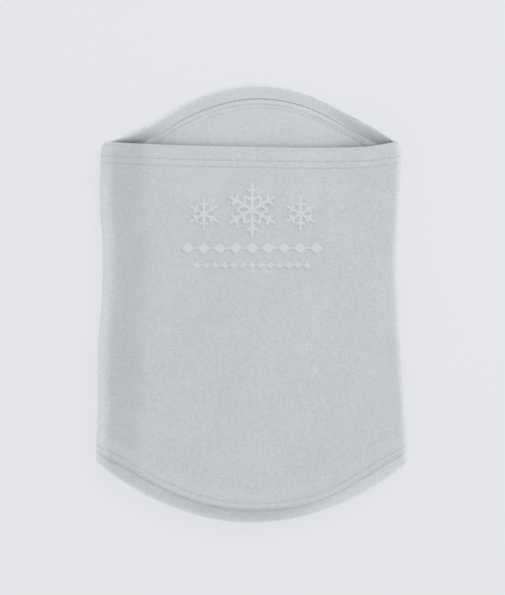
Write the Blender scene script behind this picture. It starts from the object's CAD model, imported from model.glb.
"""Fleece neck gaiter lying flat: panels, seams, hem stitches, care label, raised emblem and a plain stage."""

import math

import bmesh
import bpy
import numpy as np
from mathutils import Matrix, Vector, geometry, noise


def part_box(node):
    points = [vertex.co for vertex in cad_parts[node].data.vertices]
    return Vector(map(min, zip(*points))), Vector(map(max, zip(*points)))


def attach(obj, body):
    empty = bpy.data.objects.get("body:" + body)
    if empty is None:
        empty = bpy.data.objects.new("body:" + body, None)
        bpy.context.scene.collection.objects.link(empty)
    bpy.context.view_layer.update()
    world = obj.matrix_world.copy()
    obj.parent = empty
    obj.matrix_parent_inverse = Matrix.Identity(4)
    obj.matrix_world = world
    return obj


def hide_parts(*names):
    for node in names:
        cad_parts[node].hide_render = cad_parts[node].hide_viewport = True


bl_info = {
    "name": "Fleece Neck Gaiter",
    "version": (1, 0, 0),
    "blender": (4, 5, 0),
    "location": "3D View > Sidebar > Gaiter",
    "description": "Builds a fleece neck gaiter lying flat, with its seams, stitches, label and emblem",
    "category": "Add Mesh",
}

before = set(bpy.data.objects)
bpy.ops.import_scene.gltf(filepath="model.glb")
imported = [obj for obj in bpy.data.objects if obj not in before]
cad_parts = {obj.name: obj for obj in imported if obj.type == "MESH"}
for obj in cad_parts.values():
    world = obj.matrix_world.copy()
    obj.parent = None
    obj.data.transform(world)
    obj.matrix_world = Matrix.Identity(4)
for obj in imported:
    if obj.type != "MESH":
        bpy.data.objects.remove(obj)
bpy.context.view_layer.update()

# ---- Sizes, in millimetres unless a name says otherwise ----

MM = 0.001

BACK_LOW, BACK_HIGH = (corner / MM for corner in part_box("back_panel"))
FRONT_LOW, FRONT_HIGH = (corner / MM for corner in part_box("front_panel"))
LIE_HEIGHT = FRONT_HIGH.z
MIDDLE_Z = LIE_HEIGHT / 2
SEAM_GAP = 0.12                  # between the panels along a side seam
SIDE_RADIUS = (LIE_HEIGHT - SEAM_GAP) / 2

# Side lines of the lying tube: [y, half width]
LEFT_LINE = ((-141, 136.2), (-84, 135.0), (-41, 135.0), (0, 131.4), (46, 130.6), (90, 133.0), (141, 131.6))
RIGHT_LINE = ((-141, 136.0), (-84, 132.4), (-41, 129.6), (3, 127.2), (46, 126.2), (90, 128.4), (141, 131.0))

# Edges: [share of the half width, y]
BACK_ARCH = ((-1.0, 141), (-0.92, 143.8), (-0.78, 152), (-0.65, 161.4), (-0.45, 175.8), (-0.2, 187.8),
             (0.04, 191.8), (0.34, 186.0), (0.61, 170.8), (0.86, 153.0), (1.0, 141.5))
FRONT_MOUTH_MIDDLE = 136.8
FRONT_MOUTH_SAG = ((-1.0, 0), (0.0, 0), (0.45, 1.7), (0.7, 2.6), (0.82, 2.5), (0.9, 1.2), (1.0, 0))
MOUTH_CORNER = FRONT_HIGH.y
LOWER_CORNER = -MOUTH_CORNER
LOWER_MIDDLE = FRONT_LOW.y
MOUTH_HALF = 131.0
LOWER_HALF = 136.0
CORNER_ROUND = 3.2               # how much a hem's corner is rounded off at the sides
CORNER_REACH = 9.0

HEM_SLOT = 0.12                  # between the two layers of a turned hem
RAW_EDGE_TAPER = 4.6             # the raw edge thins out over this length
RAW_EDGE_THINNING = 0.95
HEM_END = 30.0                   # the body of a panel starts this far from a fold
SEAM_SHARE = 0.8                 # past this share of the half width the hems turn to meet at the seam
SEAM_DIP = 0.9                   # the side seam pulls the cloth in this far

HOLE_DEPTH = 0.3
LOOPER_BULK = 1.65               # the soft looper yarn against the needle thread

GROOVE_REACH = 0.75
HEM_ROLL_REACH = 8.0
PUCKER = 0.16
UNDERSIDE_SHARE = 0.35           # how much of a hem's roll shows on the side that lies on the floor
LOWER_ROW_WANDER = ((-136, 0), (-89, 1.0), (-45, -0.6), (0, -1.5), (59, -2.8), (100, -0.3), (136, 0))
LEFT_SIDE_DROP = 2.3             # the front sinks towards its left side fold
LEFT_SIDE_REACH = 46.0
RIGHT_SIDE_DROP = 0.7
RIGHT_SIDE_REACH = 20.0
SIDE_DROP_FADE = 52.0            # the side drops fade in over this length from a hem
MOUTH_SINK = 4.2                 # the front's mouth edge sinks onto the back in the middle
MOUTH_SINK_REACH = 46.0
MOUTH_SINK_INSIDE = 55.0
MOUTH_SINK_OUTSIDE = 95.0
CORNER_LIFT = 9.0                # the back's fold stands off the floor by the mouth's corners
CORNER_LIFT_X = 100.0
CORNER_LIFT_WIDTH = 24.0
CORNER_LIFT_REACH = 15.0
SWELLS = 0.45                    # soft swells of the cloth between the hems
SWELL_LENGTH = 38.0
BACK_SWELL = 2.1                 # the back stands off the floor between its hems, level with their inside
BACK_SWELL_START = 13.0
BACK_SWELL_END = 23.0

# How much lighter or darker the nap lies, and how far in from an edge
RIM_LIGHT = 0.27
RIM_REACH_LEFT = 12.8
RIM_REACH_RIGHT = 4.6
RIM_REACH_HEM = 6.0
RIM_LIGHT_LOWER = 0.32
RAW_EDGE_LIGHT = 0.14
INSIDE_LIGHT = 0.05
TUCK_DARK = 0.34                 # where the back goes in under the front's mouth edge, most at the corners
TUCK_REACH = 5.0
TUCK_X = 98.0
TUCK_WIDTH = 32.0
TUCK_MIDDLE_SHARE = 0.3
LEFT_BAND_DARK = 0.085
RIGHT_STRIP_LIGHT = 0.1
MIDDLE_STRIP_DARK = 0.07
FUZZ_FLAT = 0.045                # share of the fibres that stand on the flat of a panel
FUZZ_UNDERSIDE = 0.01
FIBRE_DENSITY = 3.8              # fibres per square millimetre where they are thickest
FIBRE_RADIUS = 0.034
FIBRE_LEAN = 1.0                 # radians
FIBRE_SHORTEST = 0.5
FIBRE_LONGEST = 1.35
FIBRE_ROOT = -0.1                # a fibre starts this far under the brushed face

STRIP_BLEND = 0.8                # a hem's strip turns into its band over this far each side of the outer row
BAND_FULLNESS = 0.8
PUCKER_REACH = 9.0
STRIP_PUCKER = 0.5               # how much less the strip by the fold puckers
BACK_HEM_SHARE = 0.5             # how much of its hems' relief the back keeps against the floor
BODY_START = 0.4                 # the body of the front starts to settle this far past the inner row
BODY_FADE = 6.0
SIDE_DROP_START = 2.0
MOUTH_SINK_START = 2.0
FOLD_START = -1.0                # a little past the fold, so that what is strongest there is so all round it
BACK_SWELL_FADE = (80, 130)      # distances from the mouth between which the back's swell dies out
BACK_SWELL_SIDES = (100, 122)    # and distances from the middle
RIPPLE_STRETCH = 0.35
RIPPLE_PLANE = 3.0
RIPPLES = ((1.0, 5.5, 1.0), (0.6, 12.0, 2.0))    # (share, feature size, seed)
SWELL_STRETCH = 0.7
SWELL_PLANE = 5.0
SWELL_SEED = 7.0
SLANT_FROM = -55                 # a slanting dent has its own x at this y
# Dents and ridges in the front: (height, x, reach in x, y, reach in y, slant)
DENTS = (
    (-1.3, -121, 10, -46, 14, 0.0),
    (-0.7, -103, 5, -62, 18, 0.55),
    (-0.5, -96, 12, -128, 18, 0.0),
    (0.6, -74, 13, 28, 60, 0.0),
    (-0.35, -42, 11, 15, 50, 0.0),
)
SEAM_DIP_START = 0.78            # share of the quarter turn where the seam's dip begins

RIM_FALL = 1.5                   # how fast the lighter rim fades
LEFT_BAND_START = (6, 16)        # distances in from the left side where the darker band comes and goes
LEFT_BAND_END = (30, 46)
LEFT_BAND_STRIP_SHARE = 0.6      # how much weaker the band is on the strip by the lower fold
RIGHT_STRIP_START = (30, 70)
MIDDLE_STRIP = (-10, 60)
RAW_EDGE_REACH = 2.6
INSIDE_SHARE = 0.9               # a row deeper than this share of the cloth is on its inside

BODY_LENGTH = 275.0              # of a panel between its hems, roughly, for spacing its rows
HEM_STEP = 0.8                   # between rows on the outside of a hem
LOWER_INNER_STEP = 2.4
SEEN_STEP = 1.7                  # between rows inside, where they show and where they don't
HIDDEN_STEP = 4.0
COLUMN_STEP = 1.65
TUFTS = ((1.0, 2.1, 3.0), (0.6, 4.8, 4.0))       # (share, feature size, seed)

ALLOWANCE_DEPTH = 9.6            # from the side fold to the cut edge of a seam allowance
ALLOWANCE_END_GAP = 4            # the allowances stop this far from the hems
OVERLOCK_END_GAP = 6
OVERLOCK_INSET = 9.4
OVERLOCK_PITCH = 2.5
OVERLOCK_REACH = 4.6
LABEL_THICKNESS = 0.3
LABEL_GAP = 0.25
LABEL_GRID = (36, 28)
RELIEF_VOXEL = 0.42
RELIEF_ROOT = 0.5                # the emblem starts this far under the fleece
RELIEF_GRAIN = 0.05

FRONT_HOLES = (0.12, 0.75)       # how much darker the fleece is at a needle hole, and how far round it
BACK_HOLES = (0.9, 1.0)
FRONT_CUT = (296, 378, 0.95)     # flat width and length, and the cut's share of that rectangle
BACK_CUT = (296, 428, 0.88)

# ---- Tones, as factors on a colour, and the ranges of the patterns that choose them ----

PILE_RANGE = (0.3, 0.75)
BROAD_RANGE = (0.3, 0.7)
FLEECE_TONES = (0.83, 1.14)
BROAD_TONES = (0.975, 1.02)
FIBRE_TONES = (0.92, 1.06)
THREAD_TONES = (0.86, 1.08)
EMBLEM_TONES = (0.95, 1.04)
LABEL_TONES = (0.93, 1.03)
FLOOR_TONES = (0.995, 1.005)

# ---- Camera, light and floor, in metres and watts ----

CAMERA_HEIGHT = 1.6              # metres above the floor
VIEW_HEIGHT = 0.5177             # metres seen from top to bottom at the height of the cloth
CAMERA_SHIFT_X = 0.0004
CAMERA_SHIFT_Y = 0.0052
FLOOR_GLOW = 0.668
WORLD_COLOUR = (0.965, 0.985, 1.0, 1.0)
WORLD_STRENGTH = 0.62            # overhead
WALL_STRENGTH = 1.75             # at the horizon
WALL_HEIGHT = 0.55               # sine of the angle where the walls have faded into the overhead light
KEY_PLACE = (0.95, 0.95, 0.85)
KEY_SIZE = 1.3
KEY_POWER = 13.8
SIDE_PLACE = (-0.85, -0.65, 0.7)
SIDE_SIZE = 0.8
SIDE_POWER = 3.5


def length_property(label, text, default, low, high):
    return bpy.props.FloatProperty(
        name=label, description=text, default=default, min=low, max=high, unit="LENGTH", subtype="DISTANCE")


def colour_property(label, text, default):
    return bpy.props.FloatVectorProperty(
        name=label, description=text, default=default, size=3, min=0.0, max=1.0, subtype="COLOR")


class GaiterSizes(bpy.types.PropertyGroup):
    """Sizes that change from one gaiter to the next."""

    cloth: length_property("Cloth", "Thickness of one layer of fleece", 0.0019, 0.001, 0.0035)
    hem_depth: length_property("Hem Depth", "From a hem's fold to its raw edge", 0.0206, 0.015, 0.028)
    outer_row: length_property("Outer Row", "From a hem's fold to its outer needle row", 0.0125, 0.008, 0.016)
    needle_gauge: length_property("Needle Gauge", "Between the two needle rows", 0.0056, 0.003, 0.0064)
    stitch_pitch: length_property("Stitch Pitch", "Length of one stitch", 0.0022, 0.0015, 0.004)
    thread: length_property("Thread", "Diameter of the sewing thread", 0.00036, 0.0002, 0.0006)
    settle: length_property("Settle", "How far the front sinks between its hems", 0.0014, 0.0, 0.005)
    pile: length_property("Pile", "Height of the tufts of the brushed face", 0.0003, 0.0, 0.001)
    emblem_height: length_property(
        "Emblem Height", "How far the emblem stands above the fleece", 0.0006, 0.0003, 0.0015)


class GaiterColours(bpy.types.PropertyGroup):
    """Colours of the cloth, threads, label, emblem, loose fibres and floor."""

    fleece: colour_property("Fleece", "Colour of the fleece", (0.55, 0.559, 0.577))
    thread: colour_property("Thread", "Colour of the sewing thread", (0.56, 0.575, 0.60))
    emblem: colour_property("Emblem", "Colour of the raised emblem", (0.585, 0.60, 0.625))
    label: colour_property("Label", "Colour of the care label", (0.83, 0.83, 0.80))
    loose_fibre: colour_property(
        "Loose Fibre", "Colour of the loose fibres of the brushed face", (0.70, 0.715, 0.74))
    looper: colour_property("Looper Yarn", "Colour of the soft yarn inside the hems", (0.80, 0.815, 0.84))
    floor: colour_property("Floor", "Colour of the floor", (0.13, 0.132, 0.136))
    floor_glow: colour_property("Floor Glow", "Colour of the light behind the floor", (0.973, 0.978, 0.998))


def size_of(name):
    """A size from the panel, in millimetres."""
    return getattr(bpy.context.scene.gaiter_sizes, name) / MM


def colour_of(name):
    return (*getattr(bpy.context.scene.gaiter_colours, name), 1.0)


# ---- Curves ----


def smooth_step(low, high, value):
    t = np.clip((value - low) / (high - low), 0.0, 1.0)
    return t * t * (3 - 2 * t)


def bell(value, centre, reach):
    return np.exp(-(((value - centre) / reach) ** 2))


def curve_through(points, values):
    """A smooth curve through (position, value) points, held flat past its ends."""
    xs = np.array([p[0] for p in points], float)
    ys = np.array([p[1] for p in points], float)
    slopes = np.gradient(ys, xs)
    at = np.clip(values, xs[0], xs[-1])
    i = np.clip(np.searchsorted(xs, at) - 1, 0, len(xs) - 2)
    span = xs[i + 1] - xs[i]
    t = (at - xs[i]) / span
    step = t * t * (3 - 2 * t)
    start = span * slopes[i] * t * (1 - t) ** 2
    end = span * slopes[i + 1] * t * t * (1 - t)
    return ys[i] * (1 - step) + ys[i + 1] * step + start - end


def noise_at(points, feature, seed=0.0):
    """Smooth noise from about -1 to 1 at millimetre points, with features of about that size."""
    shift = Vector((seed * 17.3, seed * 5.1, seed * 9.7))
    flat = np.asarray(points, float).reshape(-1, 3) / feature
    values = [noise.noise(Vector(p) + shift) for p in flat]
    return np.array(values).reshape(np.asarray(points).shape[:-1])


def layered_noise(points, layers):
    """Sum of noises, each given as its share, feature size and seed."""
    return sum(share * noise_at(points, feature, seed) for share, feature, seed in layers)


# ---- How the tube lies ----


def half_width(across, y):
    """Half width at a height, on the left or the right, turning smoothly from one to the other."""
    left = curve_through(LEFT_LINE, y)
    right = curve_through(RIGHT_LINE, y)
    return left + (right - left) * smooth_step(-0.6, 0.6, across)


def lower_edge(reach):
    return LOWER_CORNER + (LOWER_MIDDLE - LOWER_CORNER) * (1 - reach**2)


def front_mouth_edge(reach):
    arch = MOUTH_CORNER + (FRONT_MOUTH_MIDDLE - MOUTH_CORNER) * (1 - reach**2)
    return arch - curve_through(FRONT_MOUTH_SAG, reach)


def back_mouth_edge(reach):
    return curve_through(BACK_ARCH, reach)


def row_wander(which, x):
    """How far the sewn rows of a hem stray from their distance to the fold."""
    if which == "mouth":
        return np.zeros_like(x)
    return curve_through(LOWER_ROW_WANDER, x)


# Height of each hem's features above the plain lie
HEM_STYLES = {
    "mouth": {"strip_drop": 0.15, "roll": 0.8, "band": 0.1, "grooves": (0.24, 0.04),
              "unevenness": lambda x: 1.0 - 0.45 * smooth_step(20, 110, x)},
    "lower": {"strip_drop": 1.2, "roll": 0.9, "band": 0.5, "grooves": (0.5, 0.24),
              "unevenness": lambda x: 1.0 - 0.65 * bell(x, 15, 60) - 0.25 * smooth_step(60, 120, x)},
}


class Lie:
    """How one panel lies: side is 1 for the front, on top, and -1 for the back."""

    def __init__(self, side, mouth_edge):
        self.side = side
        self.mouth_edge = mouth_edge

    def reach(self, across, angle, half):
        return (across * (half - SIDE_RADIUS) + SIDE_RADIUS * np.sin(angle)) / half

    def edge(self, which, across, angle):
        """Height of an edge, and how much longer than its depth a hem is along y."""
        half = MOUTH_HALF if which == "mouth" else LOWER_HALF
        line = self.mouth_edge if which == "mouth" else lower_edge
        reach = self.reach(across, angle, half)
        slope = (line(reach + 0.01) - line(reach - 0.01)) / (0.02 * half)
        near_seam = smooth_step(SEAM_SHARE, 1.0, np.abs(reach))
        return line(reach), 1 + (np.hypot(1, slope) - 1) * (1 - near_seam)

    def height_at(self, which, across, angle, distance):
        edge, stretch = self.edge(which, across, angle)
        return edge - distance * stretch if which == "mouth" else edge + distance * stretch

    def distances(self, across, angle, y):
        """Distances from the mouth fold and from the lower fold."""
        mouth, mouth_stretch = self.edge("mouth", across, angle)
        lower, lower_stretch = self.edge("lower", across, angle)
        return (mouth - y) / mouth_stretch, (y - lower) / lower_stretch

    def hem_relief(self, which, x, y, distance):
        """A hem's own shape: rolled strip by the fold, band between the needle rows, and their grooves."""
        style = HEM_STYLES[which]
        outer = size_of("outer_row") + row_wander(which, x)
        gauge = size_of("needle_gauge")
        share = 1.0 if self.side > 0 else UNDERSIDE_SHARE
        strip = 1 - smooth_step(outer - STRIP_BLEND, outer + STRIP_BLEND, distance)
        roll = 1 - smooth_step(0.0, HEM_ROLL_REACH, distance)
        band = np.sin(np.pi * np.clip((distance - outer) / gauge, 0, 1)) ** BAND_FULLNESS
        height = style["band"] * band
        height -= share * (style["strip_drop"] * strip + style["roll"] * roll**2)
        uneven = style["unevenness"](x)
        for groove, row in zip(style["grooves"], (outer, outer + gauge)):
            height -= groove * uneven * bell(distance, row, GROOVE_REACH)
        pucker = bell(distance, outer, PUCKER_REACH) * (1 - STRIP_PUCKER * strip)
        return height + PUCKER * pucker * self.hem_ripple(x, y)

    def relief(self, x, y, inset, from_mouth, from_lower):
        """Height of the outside above its plain lie: hems, settling, side folds and creases."""
        height = self.hem_relief("mouth", x, y, from_mouth) + self.hem_relief("lower", x, y, from_lower)
        if self.side < 0:
            return np.minimum(height, 0.0) * BACK_HEM_SHARE - self.back_lift(x, from_mouth)
        inner = size_of("outer_row") + size_of("needle_gauge") + BODY_START
        body = smooth_step(inner, HEM_END + BODY_FADE, from_mouth) * smooth_step(inner, HEM_END, from_lower)
        height -= size_of("settle") * body
        side_drop = np.where(x < 0, LEFT_SIDE_DROP, RIGHT_SIDE_DROP)
        side_reach = np.where(x < 0, LEFT_SIDE_REACH, RIGHT_SIDE_REACH)
        between = smooth_step(0.0, SIDE_DROP_FADE, from_mouth) * smooth_step(0.0, SIDE_DROP_FADE, from_lower)
        height -= side_drop * between * (1 - smooth_step(SIDE_DROP_START, side_reach, inset))
        height += self.creases(x, y) * body
        middle = 1 - smooth_step(MOUTH_SINK_INSIDE, MOUTH_SINK_OUTSIDE, np.abs(x))
        height -= MOUTH_SINK * middle * (1 - smooth_step(MOUTH_SINK_START, MOUTH_SINK_REACH, from_mouth))
        return height

    def back_lift(self, x, from_mouth):
        """How far the back stands off the floor: at the mouth's corners, and under the front's mouth edge."""
        by_fold = 1 - smooth_step(FOLD_START, CORNER_LIFT_REACH, from_mouth)
        corner = bell(np.abs(x), CORNER_LIFT_X, CORNER_LIFT_WIDTH) * by_fold
        before = 1 - smooth_step(*BACK_SWELL_FADE, from_mouth)
        under = smooth_step(BACK_SWELL_START, BACK_SWELL_END, from_mouth) * before
        return CORNER_LIFT * corner + BACK_SWELL * under * (1 - smooth_step(*BACK_SWELL_SIDES, np.abs(x)))

    def hem_ripple(self, x, y):
        points = np.stack([x, y * RIPPLE_STRETCH, np.full_like(x, RIPPLE_PLANE * self.side)], -1)
        return layered_noise(points, RIPPLES)

    def creases(self, x, y):
        """Soft swells, and dents where the tube was handled."""
        points = np.stack([x, y * SWELL_STRETCH, np.full_like(x, SWELL_PLANE)], -1)
        height = SWELLS * noise_at(points, SWELL_LENGTH, SWELL_SEED)
        for rise, dent_x, reach_x, dent_y, reach_y, slant in DENTS:
            height += rise * bell(x + slant * (y - SLANT_FROM), dent_x, reach_x) * bell(y, dent_y, reach_y)
        return height

    def outside(self, across, angle, y):
        """Points of the outer face, in millimetres."""
        across, angle, y = np.broadcast_arrays(across, angle, y)
        from_mouth, from_lower = self.distances(across, angle, y)
        half = half_width(across, y)
        nearest = np.minimum(from_mouth, from_lower)
        rounding = CORNER_ROUND * (1 - smooth_step(FOLD_START, CORNER_REACH, nearest)) ** 2
        half = half - rounding
        flat_x = across * (half - SIDE_RADIUS)
        inset = half - np.abs(flat_x) - SIDE_RADIUS
        relief = self.relief(flat_x, y, inset, from_mouth, from_lower)
        turned = np.abs(angle) / (np.pi / 2)
        dip = SEAM_DIP * smooth_step(SEAM_DIP_START, 1.0, turned) ** 2
        radius = SIDE_RADIUS + relief * np.cos(angle)
        x = flat_x + (SIDE_RADIUS - dip) * np.sin(angle)
        z = MIDDLE_Z + self.side * (SEAM_GAP / 2 + radius * np.cos(angle))
        return np.stack([x, y, z], -1)

    def frame_at(self, across, angle, y):
        """Outer points with their outward normals."""
        small = 0.25
        points = self.outside(across, angle, y)
        along = self.outside(across, angle, y + small) - self.outside(across, angle, y - small)
        turn = small / SIDE_RADIUS
        step = small / MOUTH_HALF
        on_flat = np.abs(angle) < 1e-9
        before = self.outside(np.where(on_flat, across - step, across),
                              np.where(on_flat, angle, angle - turn), y)
        after = self.outside(np.where(on_flat, across + step, across),
                             np.where(on_flat, angle, angle + turn), y)
        normal = np.cross(after - before, along) * self.side
        length = np.linalg.norm(normal, axis=-1, keepdims=True)
        return points, normal / np.maximum(length, 1e-9)


FRONT = Lie(1, front_mouth_edge)
BACK = Lie(-1, back_mouth_edge)


def panel_columns(spacing):
    """(across, angle) of columns from the left seam to the right one."""
    flats = int(2 * (MOUTH_HALF - SIDE_RADIUS) / spacing)
    rounds = max(4, int(SIDE_RADIUS * np.pi / 2 / spacing) + 3)
    turn = np.linspace(0, 1, rounds + 1)[1:]
    across = np.concatenate([-np.ones(rounds), np.linspace(-1, 1, flats + 1), np.ones(rounds)])
    angle = np.concatenate([-turn[::-1], np.zeros(flats + 1), turn]) * np.pi / 2
    return across, angle


# ---- Meshes ----


def new_object(name, mesh):
    made = bpy.data.objects.new(name, mesh)
    bpy.context.scene.collection.objects.link(made)
    return made


def mesh_from(name, points, faces):
    """A mesh in metres from millimetre points."""
    mesh = bpy.data.meshes.new(name)
    mesh.from_pydata((np.asarray(points) * MM).tolist(), [], faces)
    mesh.validate()
    mesh.update()
    return mesh


def turn_out(mesh, merge=False):
    """Turns a closed mesh's faces outwards, after its doubles are merged if asked."""
    work = bmesh.new()
    work.from_mesh(mesh)
    if merge:
        bmesh.ops.remove_doubles(work, verts=work.verts, dist=1e-7)
    bmesh.ops.recalc_face_normals(work, faces=work.faces)
    work.to_mesh(mesh)
    work.free()
    mesh.update()


def shade_smooth(mesh):
    mesh.polygons.foreach_set("use_smooth", [True] * len(mesh.polygons))


def spaced(start, end, step):
    """Evenly spaced values from start towards end, without the end."""
    count = max(1, int(round(abs(end - start) / step)))
    return list(np.linspace(start, end, count + 1)[:-1])


class SectionRow:
    """One row of a panel's closed section: where it is, how deep, and which way its pile points."""

    def __init__(self, place, value, depth, pile):
        self.place = place
        self.value = value
        self.depth = depth
        self.pile = pile


def hem_thickness(distance):
    """Both layers of a turned hem at a distance from its fold: thinner towards the raw edge."""
    cloth = size_of("cloth")
    hem_depth = size_of("hem_depth")
    pressed = smooth_step(hem_depth - RAW_EDGE_TAPER, hem_depth, distance)
    return 2 * cloth + HEM_SLOT - RAW_EDGE_THINNING * cloth * pressed


def hem_section(which, fine, inner_step):
    """Rows of a turned hem from the body round the fold to the raw edge and back, outside to inside."""
    cloth = size_of("cloth")
    hem_depth = size_of("hem_depth")
    thickness = 2 * cloth + HEM_SLOT
    fold = thickness / 2
    rows = [SectionRow(which, d, 0.0, 1) for d in spaced(HEM_END, fold, fine)]
    for turn in np.linspace(0, np.pi, 9):
        rows.append(SectionRow(which, fold - fold * np.sin(turn), fold - fold * np.cos(turn), 1))
    pressed = hem_depth - RAW_EDGE_TAPER
    rows += [SectionRow(which, d, thickness, 1) for d in spaced(fold + inner_step, pressed, inner_step)]
    under = cloth + HEM_SLOT
    for d in np.linspace(pressed, hem_depth, 7):
        rows.append(SectionRow(which, d, hem_thickness(d), 1 if d < hem_depth - 0.3 else 0))
    rows.append(SectionRow(which, hem_depth + 0.06, under + 0.04, 0))
    rows.append(SectionRow(which, hem_depth - 0.1, under, 0))
    rows += [SectionRow(which, d, under, 0) for d in (hem_depth - 4, hem_depth / 2, fold + 1.5)]
    rows += [SectionRow(which, d, cloth, 0) for d in (fold + 1.5, hem_depth / 2, hem_depth - 4)]
    rows += [SectionRow(which, d, cloth, 1) for d in spaced(hem_depth, HEM_END, inner_step)]
    return rows


def body_shares(step):
    return np.linspace(0, 1, int(BODY_LENGTH / step) + 1)


def panel_section(outer_step, mouth_inner_step, seen_inside):
    """The closed section of a panel: out over the outside, back along the inside."""
    outside = [SectionRow("body", s, 0.0, 1) for s in body_shares(outer_step)[1:-1]]
    mouth = hem_section("mouth", HEM_STEP, mouth_inner_step)
    lower = hem_section("lower", HEM_STEP, LOWER_INNER_STEP)[::-1]
    fine_share = seen_inside / BODY_LENGTH
    near = list(np.linspace(1, 1 - fine_share, max(2, int(seen_inside / SEEN_STEP)))[:-1])
    far = list(np.linspace(1 - fine_share, 0, int((BODY_LENGTH - seen_inside) / HIDDEN_STEP)))
    inside = [SectionRow("body", s, size_of("cloth"), 1) for s in near + far]
    return outside + mouth + inside + lower


def section_points(lie, across, angle, rows):
    """Grid of points [row, column] with pile direction; depth is measured in from the outside."""
    mouth_start = lie.height_at("mouth", across, angle, HEM_END)
    lower_start = lie.height_at("lower", across, angle, HEM_END)
    heights = []
    for row in rows:
        if row.place == "body":
            heights.append(lower_start + (mouth_start - lower_start) * row.value)
        else:
            heights.append(lie.height_at(row.place, across, angle, row.value))
    y = np.array(heights)
    points, normals = lie.frame_at(across[None, :], angle[None, :], y)
    depth = np.array([row.depth for row in rows])[:, None, None]
    return points - normals * depth, normals


def pile_tufts(points, normals, rows):
    """Lifts the brushed face into uneven tufts."""
    pile = size_of("pile")
    inside = np.array([row.depth > size_of("cloth") / 2 for row in rows])
    show = np.array([row.pile for row in rows], float)
    sign = np.where(inside, -1.0, 1.0) * show
    tufts = layered_noise(points, TUFTS)
    return points + normals * (pile * 0.5 * tufts * sign[:, None])[..., None]


def grid_faces(rows, columns):
    """Quads of a section that closes on itself, along open columns."""
    faces = []
    for r in range(rows):
        here = r * columns
        there = ((r + 1) % rows) * columns
        for c in range(columns - 1):
            faces.append((here + c, here + c + 1, there + c + 1, there + c))
    return faces


def cap_faces(points, column, columns):
    """Triangles that close the section at one end column."""
    loop = [Vector((p[0], p[1], 0.0)) for p in points[:, column]]
    triangles = geometry.tessellate_polygon([loop])
    return [tuple(i * columns + column for i in triangle) for triangle in triangles]


def hem_run(lie, across, angle, which, offset):
    """Distance along the outer needle row at each column."""
    y = lie.height_at(which, across, angle, size_of("outer_row"))
    points = lie.outside(across, angle, y)
    steps = np.linalg.norm(np.diff(points, axis=0), axis=1)
    return offset + np.concatenate([[0.0], np.cumsum(steps)])


def add_hem_uv(mesh, uv):
    """UV in stitches along a hem and in millimetres from its fold."""
    layer = mesh.uv_layers.new(name="hem_rows")
    index = np.zeros(len(mesh.loops), np.int64)
    mesh.loops.foreach_get("vertex_index", index)
    layer.data.foreach_set("uv", uv[index].astype(np.float32).ravel())


def ring_length(which):
    """Length round the tube along the outer needle row, and of its front half."""
    across, angle = panel_columns(4.0)
    halves = [hem_run(lie, across, angle, which, 0.0)[-1] for lie in (FRONT, BACK)]
    return sum(halves), halves[0]


def stitch_count(which):
    return int(round(ring_length(which)[0] / size_of("stitch_pitch")))


def hem_coordinates(lie, across, angle, rows):
    """UV of every grid point."""
    far = HEM_END + 10
    v = np.array([[far if row.place == "body" else row.value] * len(across) for row in rows])
    u = np.zeros((len(rows), len(across)))
    for which in ("mouth", "lower"):
        total, front = ring_length(which)
        run = hem_run(lie, across, angle, which, 0.0)
        run = run if lie.side > 0 else total - run
        stitches = run / total * stitch_count(which)
        strayed = row_wander(which, across * MOUTH_HALF)
        for r, row in enumerate(rows):
            if row.place == which:
                u[r] = stitches
                v[r] -= strayed
    return np.stack([u, v], -1)


def fuzz_amount(lie, points, normals, across, angle, rows):
    """How thick the loose fibres stand: most at the folds and side edges, none on hidden faces."""
    v = np.array([row.value if row.place != "body" else HEM_END for row in rows])[:, None]
    outer = np.array([row.depth < 0.01 and row.pile > 0 for row in rows])[:, None]
    in_fold = np.array([row.place != "body" and row.value < size_of("cloth") + 1.0 and row.pile > 0
                        for row in rows])[:, None]
    shown = np.array([lie.side < 0 and row.depth > size_of("cloth") * INSIDE_SHARE and row.pile > 0
                      and row.place != "lower" for row in rows])[:, None]
    turned = np.broadcast_to(np.abs(angle)[None, :] / (np.pi / 2), points.shape[:2])
    flat = FUZZ_FLAT if lie.side > 0 else FUZZ_UNDERSIDE
    amount = outer * (flat + smooth_step(0.25, 0.7, turned)) + np.zeros_like(v)
    amount = np.maximum(amount, in_fold * np.ones_like(turned))
    inside = shown * FUZZ_FLAT * (points[..., 1] > MOUTH_CORNER - 8) * (turned < 0.3)
    amount = np.maximum(amount, inside)
    return np.where((points[..., 2] < 0.8) & (normals[..., 2] < -0.5), 0.0, amount)


def rim(distance, reach):
    """1 at an edge, fading to 0 at a reach from it."""
    return (1 - np.clip(distance / reach, 0, 1)) ** RIM_FALL


def inside_light(points, rows):
    """Tone of the back's inside: lighter nap and raw edge, dark where it goes in under the front's edge."""
    x, y = points[..., 0], points[..., 1]
    cloth = size_of("cloth")
    raw_start = size_of("hem_depth") - RAW_EDGE_REACH
    inside = np.array([row.depth > cloth * INSIDE_SHARE and row.place != "lower" for row in rows])[:, None]
    raw = np.array([row.place == "mouth" and row.depth > cloth and row.value > raw_start
                    for row in rows])[:, None]
    tucked = inside * (1 - smooth_step(0, TUCK_REACH, y - front_mouth_edge(x / MOUTH_HALF)))
    corner = bell(np.abs(x), TUCK_X, TUCK_WIDTH)
    tuck = TUCK_DARK * tucked * (TUCK_MIDDLE_SHARE + (1 - TUCK_MIDDLE_SHARE) * corner)
    return INSIDE_LIGHT * inside - tuck + RAW_EDGE_LIGHT * raw


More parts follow.
